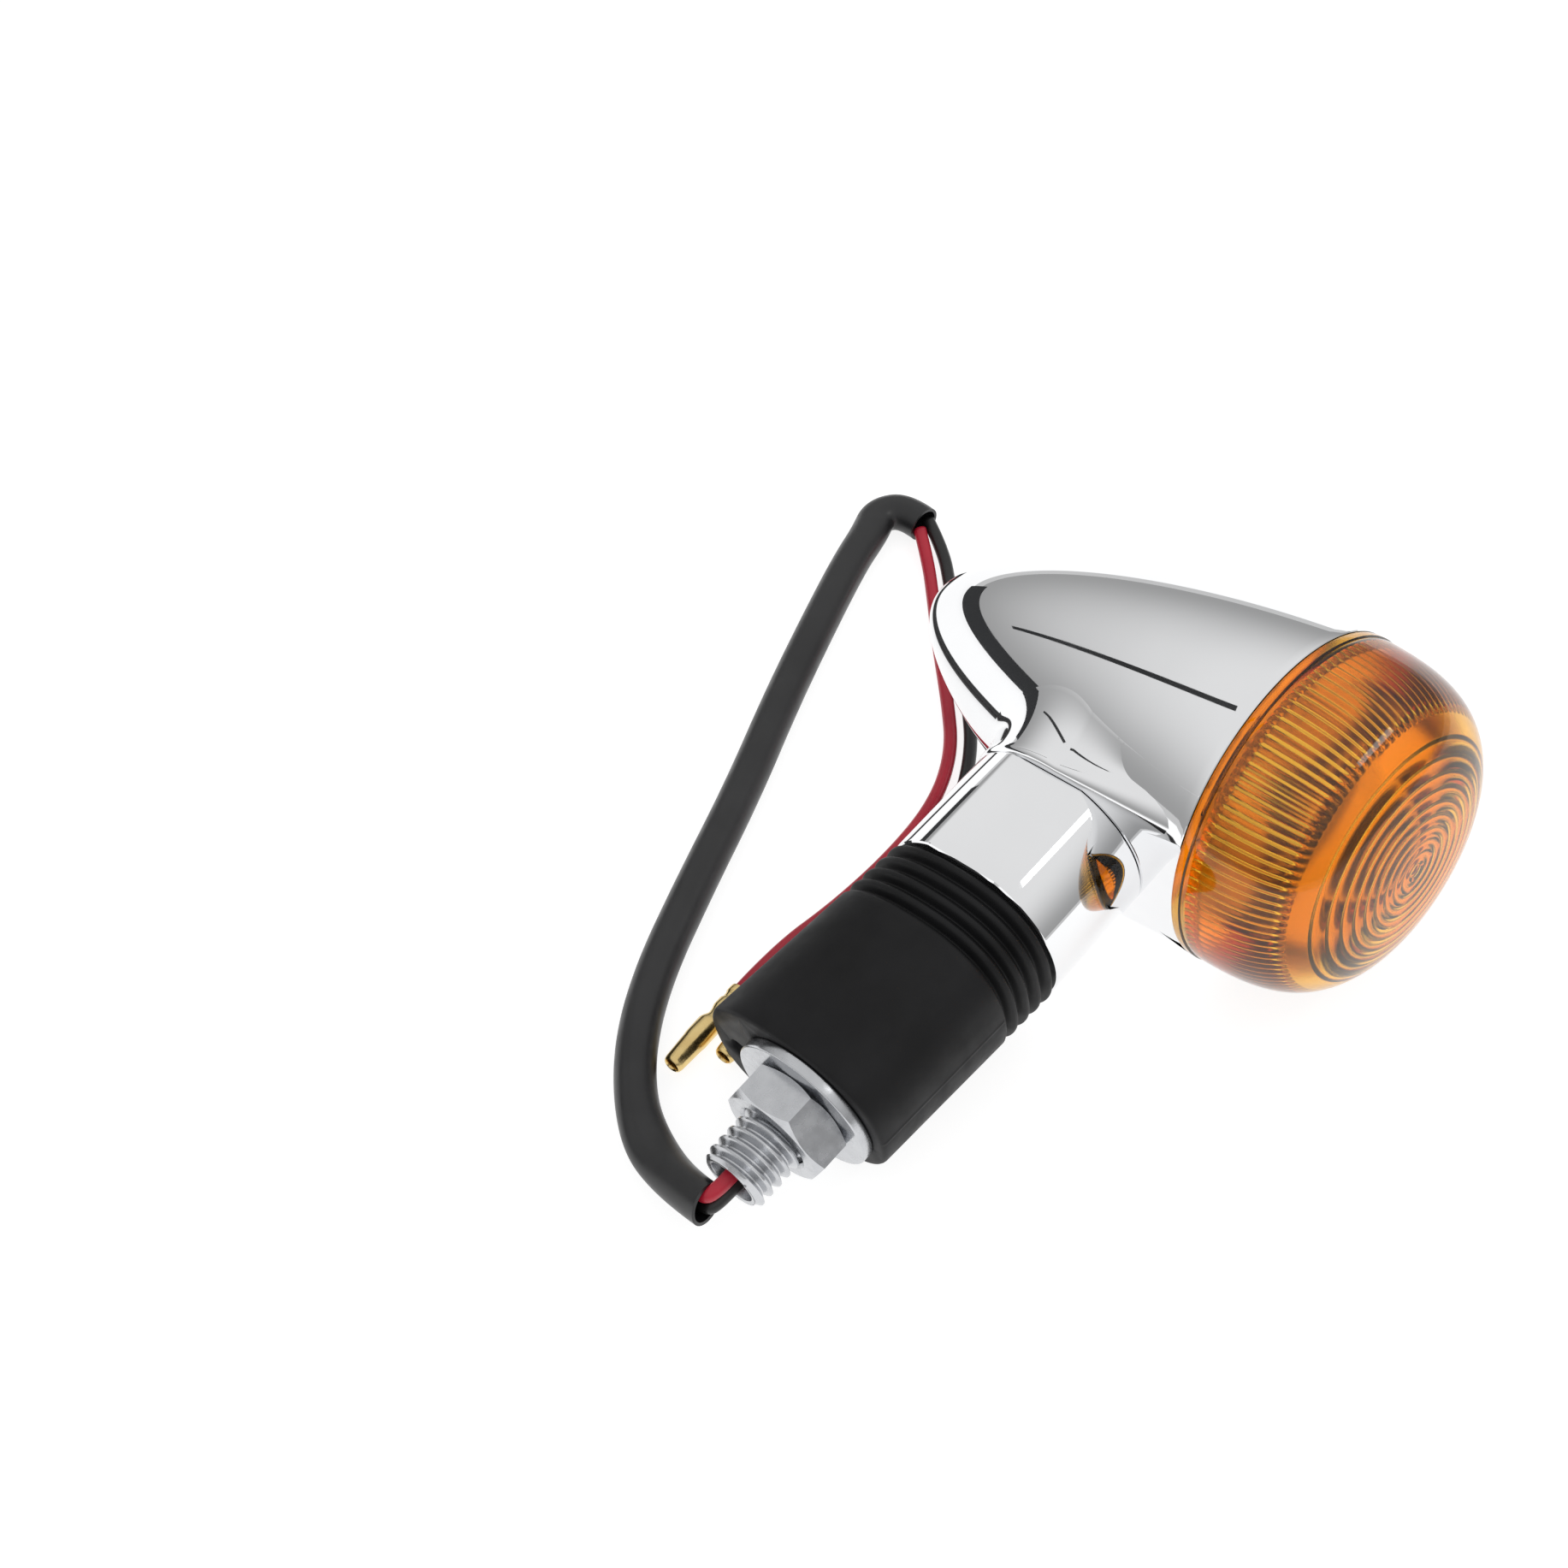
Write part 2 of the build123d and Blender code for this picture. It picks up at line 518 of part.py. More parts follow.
def connector(route):
    """A brass bullet terminal on a wire's end: a crimp, a shoulder and a hollow tapered nose."""
    start = Vector(*route[-1])
    heading = start - Vector(*route[-2])
    length = CRIMP_LENGTH + CONNECTOR_LENGTH
    nose, hollow = length - NOSE_LENGTH, length - NOSE_LENGTH + PAST
    bore = NOSE_RADIUS - TERMINAL_WALL
    profile = Polyline((0, 0), (CRIMP_RADIUS, 0), (CRIMP_RADIUS, CRIMP_LENGTH),
                       (CONNECTOR_RADIUS, CRIMP_LENGTH + SHOULDER), (CONNECTOR_RADIUS, nose),
                       (NOSE_RADIUS, length), (bore, length), (bore, hollow), (0, hollow), close=True)
    solid = revolve(make_face(profile), Axis.Y)
    aim = Plane(origin=start, x_dir=heading.cross(Vector(0, 0, 1)), z_dir=(0, 0, 1))
    return aim.location * solid


# ---- assembly -----------------------------------------------------------------------
ON_BULLET_AXIS = {
    "reflector": reflector,
    "socket_shell": socket_shell,
    "socket_insulator": socket_insulator,
    "centre_contact": centre_contact,
    "contact_spring": contact_spring,
    "bulb_base": bulb_base,
    "bulb_cap_glass": bulb_cap_glass,
    "bulb_contact": bulb_contact,
    "bulb_glass": bulb_glass,
    "bulb_filament": bulb_filament,
    "lens": lens,
    "lens_gasket": lens_gasket,
}
ON_STALK_AXIS = {
    "housing_shell": housing_shell,
    "stem": stem,
    "ground_terminal": ground_terminal,
    "stem_lock_washer": stem_lock_washer,
    "stem_nut": stem_nut,
    "red_lead": red_lead,
    "black_lead": black_lead,
    "rubber_neck": rubber_neck,
    "red_neck_lead": lambda: straight_lead(1, STEM_FOOT_X + 3 * LEAD_SPLIT, NECK_END_X - LEAD_SPLIT),
    "black_neck_lead": lambda: straight_lead(-1, STEM_FOOT_X + 3 * LEAD_SPLIT, NECK_END_X - LEAD_SPLIT),
    "rubber_boot": rubber_boot,
    "threaded_stud": threaded_stud,
    "flat_washer": flat_washer,
    "hex_nut": hex_nut,
    "red_stalk_lead": lambda: straight_lead(1, NECK_END_X + LEAD_SPLIT, LEAD_SPLIT_X),
    "black_stalk_lead": lambda: straight_lead(-1, NECK_END_X + LEAD_SPLIT, LEAD_SPLIT_X),
}
parts = {name: BULLET * make() for name, make in ON_BULLET_AXIS.items()}
parts.update({name: make() for name, make in ON_STALK_AXIS.items()})
parts = {name: REST_TURN * part for name, part in parts.items()}

CROSSING_HEIGHT = -min(part.bounding_box().min.Z for part in parts.values())


def to_surface(point):
    """A place on the stalk, measured from the surface under the axes' crossing."""
    turned_point = REST_TURN * Pos(point)
    return turned_point.position + Vector(0, 0, CROSSING_HEIGHT)


boxes = [part.bounding_box() for part in parts.values()]
SHIFT = Vector(-(min(b.min.X for b in boxes) + max(b.max.X for b in boxes)) / 2,
               -(min(b.min.Y for b in boxes) + max(b.max.Y for b in boxes)) / 2, 0)
parts = {name: Pos(SHIFT + Vector(0, 0, CROSSING_HEIGHT)) * part for name, part in parts.items()}

cords = {
    "red_exit_wire": exit_wire(1),
    "black_exit_wire": exit_wire(-1),
    "cord_sleeve": cord(SLEEVE_ROUTE, SLEEVE_RADIUS),
    "red_wire": cord(RED_ROUTE, LEAD_RADIUS),
    "black_wire": cord(BLACK_ROUTE, LEAD_RADIUS),
    "red_connector": connector(RED_ROUTE),
    "black_connector": connector(BLACK_ROUTE),
}
parts.update({name: Pos(SHIFT) * part for name, part in cords.items()})

os.makedirs("parts", exist_ok=True)
for name, part in parts.items():
    part.label = name
    export_step(part, f"parts/{name}.step")

print("moved by", SHIFT, "and up", round(CROSSING_HEIGHT, 3))
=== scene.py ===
import bmesh
import bpy
import math
from mathutils import Matrix, Vector


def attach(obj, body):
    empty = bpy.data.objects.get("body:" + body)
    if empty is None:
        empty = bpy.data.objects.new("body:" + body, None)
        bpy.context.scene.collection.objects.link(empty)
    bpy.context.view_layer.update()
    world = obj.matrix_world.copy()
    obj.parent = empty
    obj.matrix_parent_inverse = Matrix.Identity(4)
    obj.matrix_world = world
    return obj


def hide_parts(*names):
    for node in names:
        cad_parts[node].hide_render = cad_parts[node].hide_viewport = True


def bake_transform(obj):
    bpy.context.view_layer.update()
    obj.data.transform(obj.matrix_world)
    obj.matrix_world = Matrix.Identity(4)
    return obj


# Motorcycle turn signal indicator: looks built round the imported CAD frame.
# Local frames are in millimetres: STALK runs along the stem and stud (+X to the stud's end),
# BULLET is the same frame turned by the head's lean (+Y the way the lens faces).

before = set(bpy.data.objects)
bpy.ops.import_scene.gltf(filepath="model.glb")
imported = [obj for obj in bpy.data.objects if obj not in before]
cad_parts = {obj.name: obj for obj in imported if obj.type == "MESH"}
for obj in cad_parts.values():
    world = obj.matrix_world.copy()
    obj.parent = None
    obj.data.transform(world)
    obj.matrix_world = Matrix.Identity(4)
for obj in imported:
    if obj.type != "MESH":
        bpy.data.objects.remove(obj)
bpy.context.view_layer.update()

MM = 0.001
ROLL, PITCH, LEAN = math.radians(8.5), math.radians(7.45), math.radians(2.3)
SHIFT = Vector((-31.6803, -2.19871, 0.0))
HEIGHT = 21.154

SURFACE = Matrix.Scale(MM, 4) @ Matrix.Translation(SHIFT)
STALK = (SURFACE @ Matrix.Translation((0, 0, HEIGHT)) @ Matrix.Rotation(PITCH, 4, "Y")
         @ Matrix.Rotation(ROLL, 4, "X"))
BULLET = STALK @ Matrix.Rotation(-LEAN, 4, "Z")
TO_BULLET = Matrix.Rotation(LEAN, 4, "Z")

# head
RIM_RADIUS, RIM_Y, NOSE_Y = 24.05, 21.7, -39.7
OGIVE_LENGTH_POWER, OGIVE_ROUND_POWER = 1.42, 0.546
SHELL_WALL = 1.6
MOUTH_RADIUS, MOUTH_FLOOR_Y, LEDGE_RADIUS = 20.48, 14.0, 18.6
COLLAR_RADIUS = 14.0
# lens
LENS_RADIUS, LENS_START_Y, LENS_FRONT_Y, LENS_POWER = 23.94, 19.6, 42.3, 3.32
LENS_WALL = 2.0
NECK_RADIUS, NECK_BORE, NECK_END_Y = 20.40, 18.2, 14.8
FLUTES = 104
RING_COUNT, RING_STEP, RING_HEIGHT = 10, 1.68, 0.55
# stem
STEM_RADIUS, STEM_TOP_X, STEM_FOOT_X, FLAT_OFFSET = 13.7, 21.6, 39.1, 12.55
# boot
NECK_END_X, BOOT_END_X, OVAL_POWER = 48.0, 71.4, 2.4
TOP_OVAL, END_OVAL, END_OFFSET_Y = (13.4, 12.7), (14.4, 11.4), -2.3
RIB_PITCH, RIB_DEPTH = 2.2, 1.1
DRAIN_Y, DRAIN_RADIUS = -12.3, 1.5
# stud, washer and nut
STUD_RADIUS, STUD_ROOT, STUD_BORE, STUD_END_X, PITCH_X = 4.76, 3.86, 3.3, 86.2, 1.5875
WASHER_RADIUS, WASHER_BORE, WASHER_END_X = 10.3, 5.155, 73.05
NUT_END_X, NUT_FLAT = 78.65, 14.29 / 2
NUT_TURN = math.radians(30)   # puts a corner along Y, as the CAD nut and the photographed one have
# cords
LEAD_RADIUS, PAIR = 1.0, 1.15
LEAD_SPLIT_X, STUD_EXIT_X = 82.5, 89.2
SLEEVE_ROUTE = [(89.2, -1.4, 8.7), (88.3, -8.2, 5.4), (84.4, -17.2, 3.0), (77.4, -24.8, 3.0),
                (67.2, -31.2, 3.0), (52.5, -37.2, 3.0), (36.0, -43.4, 3.0), (18.5, -51.0, 3.0),
                (2.0, -57.4, 3.0), (-8.5, -61.2, 3.0), (-14.8, -62.9, 3.0), (-19.0, -64.6, 3.0),
                (-22.4, -62.0, 3.0), (-22.0, -57.9, 3.0)]
RED_ROUTE = [(-20.8, -57.7, 2.9), (-17.6, -53.4, 1.6), (-12.6, -48.2, 1.1), (-5.4, -41.2, 1.1),
             (2.2, -33.2, 1.1), (9.0, -26.8, 1.1), (18.0, -22.6, 1.1), (29.0, -21.2, 1.1),
             (41.0, -21.3, 1.1), (52.1, -22.3, 1.75), (60.8, -21.6, 1.75)]
BLACK_ROUTE = [(-23.2, -58.0, 2.9), (-20.8, -52.9, 1.6), (-15.8, -47.4, 1.1), (-7.8, -39.2, 1.1),
               (0.8, -30.4, 1.1), (7.2, -24.6, 1.1), (16.4, -19.6, 1.1), (27.5, -18.2, 1.1),
               (38.0, -17.9, 1.1), (47.5, -18.3, 1.75), (55.4, -17.6, 1.75)]


# ---- meshes -------------------------------------------------------------------------
def make(name, points, faces, matrix, crease=30.0):
    """A smooth-shaded mesh from millimetre points in a local frame."""
    mesh = bpy.data.meshes.new(name)
    mesh.from_pydata([matrix @ Vector(p) for p in points], [], faces)
    return finish_mesh(name, mesh, crease)


def finish_mesh(name, mesh, crease):
    mesh.validate()
    mesh.polygons.foreach_set("use_smooth", [True] * len(mesh.polygons))
    mesh.set_sharp_from_angle(angle=math.radians(crease))
    obj = bpy.data.objects.new(name, mesh)
    bpy.context.scene.collection.objects.link(obj)
    return obj


def recalculated(obj):
    """Normals turned outward."""
    work = bmesh.new()
    work.from_mesh(obj.data)
    bmesh.ops.remove_doubles(work, verts=work.verts, dist=1e-7)
    bmesh.ops.recalc_face_normals(work, faces=work.faces)
    work.to_mesh(obj.data)
    work.free()
    return obj


def sheet_faces(rows, columns, closed_rows=False, closed_columns=True, start=0):
    """Quads over a grid of points stored row by row."""
    faces = []
    for i in range(rows if closed_rows else rows - 1):
        for j in range(columns if closed_columns else columns - 1):
            a, b = start + i * columns, start + (i + 1) % rows * columns
            k = (j + 1) % columns
            faces.append((a + j, a + k, b + k, b + j))
    return faces


def rings(name, sections, matrix, crease=30.0, caps=True, closed=False):
    """A skin over a row of equal closed sections."""
    columns = len(sections[0])
    points = [p for section in sections for p in section]
    faces = sheet_faces(len(sections), columns, closed_rows=closed)
    if caps and not closed:
        faces.append(tuple(range(columns))[::-1])
        faces.append(tuple(range(len(points) - columns, len(points))))
    return recalculated(make(name, points, faces, matrix, crease))


def circle(radius, at, axis, count):
    step = 2 * math.pi / count
    if axis == "Y":
        return [(radius * math.cos(i * step), at, radius * math.sin(i * step)) for i in range(count)]
    return [(at, radius * math.cos(i * step), radius * math.sin(i * step)) for i in range(count)]


def lathe(name, profile, matrix, axis="Y", count=192, crease=30.0, closed=True):
    """A solid of revolution from (radius, place) stops; the profile is a loop, or ends on the axis."""
    sections = [circle(max(r, 1e-4), at, axis, count) for r, at in profile]
    return rings(name, sections, matrix, crease, caps=False, closed=closed)


def softened(corners, radius, steps=5):
    """A closed outline with every corner rounded."""
    result = []
    count = len(corners)
    for i in range(count):
        before, corner, after = (Vector(corners[(i + k) % count]) for k in (-1, 0, 1))
        first, second = before - corner, after - corner
        reach = min(radius, 0.45 * first.length, 0.45 * second.length)
        start, end = corner + first.normalized() * reach, corner + second.normalized() * reach
        for k in range(steps + 1):
            t = k / steps
            place = (1 - t) ** 2 * start + 2 * t * (1 - t) * corner + t * t * end
            result.append(tuple(place))
    return result


def joined(name, pieces):
    """One object from several."""
    bpy.ops.object.select_all(action="DESELECT")
    for piece in pieces:
        piece.select_set(True)
    bpy.context.view_layer.objects.active = pieces[0]
    bpy.ops.object.join()
    pieces[0].name = name
    return pieces[0]


def cut(obj, matrix, place, normal, fill=False):
    """Trims away what lies beyond a plane given in a local frame."""
    work = bmesh.new()
    work.from_mesh(obj.data)
    geometry = work.verts[:] + work.edges[:] + work.faces[:]
    way = (matrix.to_3x3() @ Vector(normal)).normalized()
    made = bmesh.ops.bisect_plane(work, geom=geometry, plane_co=matrix @ Vector(place), plane_no=way,
                                  clear_outer=True, dist=1e-8)
    if fill:
        edges = [g for g in made["geom_cut"] if isinstance(g, bmesh.types.BMEdge)]
        bmesh.ops.contextual_create(work, geom=edges)
    work.to_mesh(obj.data)
    work.free()
    return obj


# ---- materials ----------------------------------------------------------------------
def material(name):
    made = bpy.data.materials.new(name)
    made.use_nodes = True
    tree = made.node_tree
    tree.nodes.clear()
    output = tree.nodes.new("ShaderNodeOutputMaterial")
    shader = tree.nodes.new("ShaderNodeBsdfPrincipled")
    tree.links.new(shader.outputs["BSDF"], output.inputs["Surface"])
    return made, tree, shader


def noise(tree, scale, detail=4.0, stretch=(1, 1, 1), rough=0.5):
    """Noise in object space, in features per metre."""
    place = tree.nodes.new("ShaderNodeTexCoord")
    mapping = tree.nodes.new("ShaderNodeMapping")
    mapping.inputs["Scale"].default_value = stretch
    texture = tree.nodes.new("ShaderNodeTexNoise")
    texture.inputs["Scale"].default_value = scale
    texture.inputs["Detail"].default_value = detail
    texture.inputs["Roughness"].default_value = rough
    tree.links.new(place.outputs["Object"], mapping.inputs["Vector"])
    tree.links.new(mapping.outputs["Vector"], texture.inputs["Vector"])
    return texture.outputs["Fac"]


def ranged(tree, value, low, high, start=0.3, end=0.7):
    """A value spread between two limits."""
    node = tree.nodes.new("ShaderNodeMapRange")
    node.inputs["From Min"].default_value = start
    node.inputs["From Max"].default_value = end
    node.inputs["To Min"].default_value = low
    node.inputs["To Max"].default_value = high
    tree.links.new(value, node.inputs["Value"])
    return node.outputs["Result"]


def blended(tree, value, first, second, start=0.35, end=0.65):
    """A colour between two, led by a value."""
    node = tree.nodes.new("ShaderNodeMix")
    node.data_type = "RGBA"
    node.inputs["A"].default_value = (*first, 1)
    node.inputs["B"].default_value = (*second, 1)
    tree.links.new(ranged(tree, value, 0.0, 1.0, start, end), node.inputs["Factor"])
    return node.outputs["Result"]


def bumped(tree, shader, value, strength, distance):
    node = tree.nodes.new("ShaderNodeBump")
    node.inputs["Strength"].default_value = strength
    node.inputs["Distance"].default_value = distance
    tree.links.new(value, node.inputs["Height"])
    tree.links.new(node.outputs["Normal"], shader.inputs["Normal"])


def metal(name, first, second, rough_low, rough_high, patch=60.0, grain=900.0, bump=0.05):
    made, tree, shader = material(name)
    shader.inputs["Metallic"].default_value = 1.0
    tree.links.new(blended(tree, noise(tree, patch), first, second), shader.inputs["Base Color"])
    tree.links.new(ranged(tree, noise(tree, patch * 3), rough_low, rough_high), shader.inputs["Roughness"])
    bumped(tree, shader, noise(tree, grain), bump, 0.00005)
    return made


def rubber(name, first, second, rough_low, rough_high, grain=5000.0, bump=0.25, level=0.4):
    made, tree, shader = material(name)
    shader.inputs["Specular IOR Level"].default_value = level
    tree.links.new(blended(tree, noise(tree, 90.0), first, second), shader.inputs["Base Color"])
    tree.links.new(ranged(tree, noise(tree, 300.0), rough_low, rough_high), shader.inputs["Roughness"])
    bumped(tree, shader, noise(tree, grain, detail=2.0), bump, 0.00004)
    return made


def clear(name, colour, rough, ior, dust=0.0):
    """A see-through material with faint haze in patches."""
    made, tree, shader = material(name)
    shader.inputs["Base Color"].default_value = (*colour, 1)
    shader.inputs["Transmission Weight"].default_value = 1.0
    shader.inputs["IOR"].default_value = ior
    tree.links.new(ranged(tree, noise(tree, 140.0), rough, rough + dust), shader.inputs["Roughness"])
    return made


CHROME = metal("polished_chrome", (0.90, 0.905, 0.915), (0.86, 0.865, 0.875), 0.015, 0.045, 40, 260, 0.03)
ZINC = metal("bright_zinc", (0.60, 0.61, 0.63), (0.53, 0.54, 0.56), 0.18, 0.32, 220, 2600, 0.2)
BRASS = metal("brass", (0.86, 0.66, 0.30), (0.72, 0.52, 0.22), 0.14, 0.30, 260, 3000, 0.2)
STEEL = metal("plated_steel", (0.62, 0.62, 0.62), (0.50, 0.50, 0.50), 0.25, 0.40, 120, 1500, 0.1)
DISH = metal("metallised_dish", (0.90, 0.90, 0.88), (0.82, 0.82, 0.80), 0.10, 0.20, 70, 600, 0.1)
RUBBER = rubber("boot_rubber", (0.006, 0.006, 0.0065), (0.010, 0.010, 0.011), 0.46, 0.60, level=0.22)
PLASTIC = rubber("sleeve_plastic", (0.012, 0.012, 0.013), (0.020, 0.020, 0.021), 0.30, 0.42, 1500, 0.1, 0.5)
RED = rubber("red_insulation", (0.52, 0.012, 0.035), (0.42, 0.008, 0.028), 0.32, 0.44, 1800, 0.08, 0.5)
BLACK = rubber("black_insulation", (0.010, 0.010, 0.010), (0.018, 0.018, 0.018), 0.32, 0.44, 1800, 0.08, 0.5)
BOARD = rubber("insulator_board", (0.30, 0.17, 0.08), (0.22, 0.12, 0.06), 0.6, 0.8, 2000, 0.2)
GLASS = clear("bulb_glass", (0.98, 0.98, 0.98), 0.0, 1.47, 0.02)
AMBER = clear("amber_lens", (1.0, 0.50, 0.035), 0.0, 1.49, 0.03)
AMBER_INSIDE = clear("amber_lens_inside", (1.0, 0.50, 0.035), 0.12, 1.49, 0.08)


def dress(obj, looks, body=None, nodes=()):
    """Material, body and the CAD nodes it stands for."""
    obj.data.materials.clear()
    obj.data.materials.append(looks)
    if body:
        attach(obj, body)
    if nodes:
        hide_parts(*nodes)
    return obj


# ---- head -----------------------------------------------------------------------------
def ogive_radius(y, radius=RIM_RADIUS, nose=NOSE_Y):
    part = min(max((RIM_Y - y) / (RIM_Y - nose), 0.0), 1.0)
    return radius * (1 - part ** OGIVE_LENGTH_POWER) ** OGIVE_ROUND_POWER


def ogive_stops(radius, nose, count, last=RIM_Y):
    """(radius, y) stops from the nose, closer together near it."""
    stops = []
    for i in range(count + 1):
        share = (i / count) ** 1.9
        y = nose + share * (last - nose)
        stops.append((ogive_radius(y, radius, nose), y))
    return stops


def build_bullet():
    outer = ogive_stops(RIM_RADIUS, NOSE_Y, 110, RIM_Y - 0.3)
    rim = [(RIM_RADIUS - 0.03, RIM_Y - 0.12), (RIM_RADIUS - 0.15, RIM_Y), (MOUTH_RADIUS, RIM_Y),
           (MOUTH_RADIUS, MOUTH_FLOOR_Y), (LEDGE_RADIUS, MOUTH_FLOOR_Y), (LEDGE_RADIUS, 12.5)]
    inner = ogive_stops(RIM_RADIUS - SHELL_WALL, NOSE_Y + SHELL_WALL, 40, 12.5)[::-1]
    body = lathe("bullet", outer + rim + inner, BULLET, count=256, crease=20, closed=False)
    return cut(body, STALK, (STEM_TOP_X, 0, 0), (1, 0, 0))


def bullet_surface(y, z):
    """Height of the bullet's skin above the (y, z) plane of the stalk's frame."""
    x = 18.0
    for _ in range(6):
        place = TO_BULLET @ Vector((x, y, 0))
        reach = max(ogive_radius(place.y) ** 2 - z * z, 1.0)
        x += (math.sqrt(reach) - place.x) / math.cos(LEAN)
    return x


def skin_point(y, z):
    return Vector((bullet_surface(y, z), y, z))


def boss_outline():
    """(y, z, outward y, outward z, edge radius, spread) round the boss, from rim to rim."""
    slope = 0.085
    tilt = math.atan(slope)
    stations = []
    knee_y, knee_z = COLLAR_RADIUS * math.sin(tilt), COLLAR_RADIUS * math.cos(tilt)
    for i in range(40, 0, -1):
        y = knee_y + i / 40 * (23.4 - knee_y)
        share = i / 40
        stations.append((y, knee_z + slope * (y - knee_y), -math.sin(tilt), math.cos(tilt),
                         1.1 + 5.4 * share ** 1.2, 2.8 - 1.0 * share))
    arc = []
    for i in range(97):
        turn = -tilt + i / 96 * (math.pi + 2 * tilt)
        dy, dz = -math.sin(turn), math.cos(turn)
        side = abs(math.cos(turn))
        arc.append((COLLAR_RADIUS * dy, COLLAR_RADIUS * dz, dy, dz, 0.5 + 0.6 * side, 1.5 + 1.3 * side))
    mirrored = [(y, -z, dy, -dz, edge, spread) for y, z, dy, dz, edge, spread in stations[::-1]]
    return stations + arc + mirrored


def boss_profile(y, z, dy, dz, edge, spread):
    """From the flat face over its rounded edge, down the wall and out onto the bullet's skin."""
    points = [Vector((STEM_TOP_X, y - dy * (edge + 4), z - dz * (edge + 4)))]
    for k in range(9):
        turn = math.radians(11.25 * k)
        out = -edge + edge * math.sin(turn)
        points.append(Vector((STEM_TOP_X - edge + edge * math.cos(turn), y + dy * out, z + dz * out)))
    start = points[-1]
    foot = skin_point(y + dy * spread, z + dz * spread)
    near = skin_point(y + dy * (spread - 0.05), z + dz * (spread - 0.05))
    lead = (foot - near).normalized()
    span = (foot - start).length
    first, second = start - Vector((0.35 * span, 0, 0)), foot - lead * 0.4 * span
    for k in range(1, 17):
        t = k / 16
        points.append((1 - t) ** 3 * start + 3 * t * (1 - t) ** 2 * first
                      + 3 * t * t * (1 - t) * second + t ** 3 * foot)
    points.append(foot + lead * 0.5 - Vector((0.25, 0, 0)))
    return points


def build_boss():
    rows = [boss_profile(*station) for station in boss_outline()]
    columns = len(rows[0])
    points = [p for row in rows for p in row]
    faces = sheet_faces(len(rows), columns, closed_columns=False)
    faces.append(tuple(i * columns for i in range(len(rows))))
    boss = recalculated(make("boss", points, faces, STALK, 20))
    return cut(boss, BULLET, (0, RIM_Y - 0.02, 0), (0, 1, 0), fill=True)


shell = joined("shell", [build_bullet(), build_boss()])
shell.data.set_sharp_from_angle(angle=math.radians(24))
dress(shell, CHROME, "head", ["housing_shell"])


def stem_section(x, inset):
    radius, flat = STEM_RADIUS - inset, FLAT_OFFSET - inset
    points = []
    for i in range(360):
        turn = 2 * math.pi * i / 360
        y, z = radius * math.cos(turn), radius * math.sin(turn)
        if abs(z) > flat:
            z = math.copysign(flat, z)
        points.append((x, y, z))
    return points


STEM_STOPS = [(STEM_TOP_X + 0.02, 0.9), (STEM_TOP_X + 0.02, 0.38), (STEM_TOP_X + 0.10, 0.16),
              (STEM_TOP_X + 0.26, 0.03), (STEM_TOP_X + 0.44, 0), (STEM_FOOT_X - 0.5, 0),
              (STEM_FOOT_X - 0.2, 0.06), (STEM_FOOT_X - 0.03, 0.3), (STEM_FOOT_X, 0.6)]
stem = rings("stem_column", [stem_section(*stop) for stop in STEM_STOPS], STALK, crease=18)
dress(stem, CHROME, "head", ["stem"])


# ---- lens -----------------------------------------------------------------------------
def dome_stops(radius, front, first, count):
    """(radius, y) stops from the skirt's start to the axis, even along the curve."""
    stops = []
    for i in range(count + 1):
        turn = math.pi / 2 * i / count
        part = math.sin(turn) ** (2 / LENS_POWER)
        y = LENS_START_Y + part * (front - LENS_START_Y)
        reach = radius * math.cos(turn) ** (2 / LENS_POWER)
        if y > first:
            stops.append((reach, y))
    return stops


def lens_sections():
    rim = RIM_Y + 0.06
    outer = [(NECK_BORE, NECK_END_Y), (NECK_RADIUS, NECK_END_Y), (NECK_RADIUS, rim),
             (LENS_RADIUS - 0.35, rim), (LENS_RADIUS - 0.08, rim + 0.10), (LENS_RADIUS, rim + 0.4),
             (LENS_RADIUS, rim + 1.25), (LENS_RADIUS - 0.22, rim + 1.45)]
    outer += dome_stops(LENS_RADIUS - 0.10, LENS_FRONT_Y, rim + 1.6, 90)
    front, radius = LENS_FRONT_Y - LENS_WALL, LENS_RADIUS - LENS_WALL
    inner = [(r, y) for r, y in dome_stops(radius, front, rim + 2.4, 260)][::-1]
    return outer, inner + [(radius, rim + 1.6), (NECK_BORE, rim + 1.2)]


def ring_step(r):
    """Concentric lens rings on the inside of the front, as (r) -> depth."""
    if r > RING_COUNT * RING_STEP:
        return 0.0
    part = (r / RING_STEP) % 1.0
    return RING_HEIGHT * (1 - (2 * part - 1) ** 2)


def build_lens():
    outer, inner = lens_sections()
    count = FLUTES * 6
    points, rows = [], 0
    for r, y in outer:
        points += circle(max(r, 1e-4), y, "Y", count)
        rows += 1
    for r, y in inner:
        skirt = min(max((r - 18.6) / 1.2, 0.0), 1.0) * min(max((y - 23.6) / 0.5, 0.0), 1.0)
        depth = ring_step(r)
        for j in range(count):
            turn = 2 * math.pi * j / count
            wave = 0.5 - 0.5 * math.cos(turn * FLUTES)
            reach = max(r - 0.55 * skirt * wave, 1e-4)
            points.append((reach * math.cos(turn), y - depth, reach * math.sin(turn)))
        rows += 1
    faces = sheet_faces(rows, count, closed_rows=True)
    return recalculated(make("lens_moulding", points, faces, BULLET, 35))


def satin_inside(obj):
    """The second material on the faces that look at the bulb."""
    obj.data.materials.append(AMBER_INSIDE)
    middle = BULLET @ Vector((0, RIM_Y, 0))
    for face in obj.data.polygons:
        face.material_index = int(face.normal.dot(face.center - middle) < 0)


lens = dress(build_lens(), AMBER, "lens", ["lens"])
satin_inside(lens)


# ---- boot -----------------------------------------------------------------------------
def boot_angles():
    """Angles round the boot, closer together at the parting lines on its narrow sides."""
    angles = []
    for i in range(200):
        turn = 2 * math.pi * i / 200
        angles.append(turn - 0.42 * math.sin(2 * turn))
    return angles


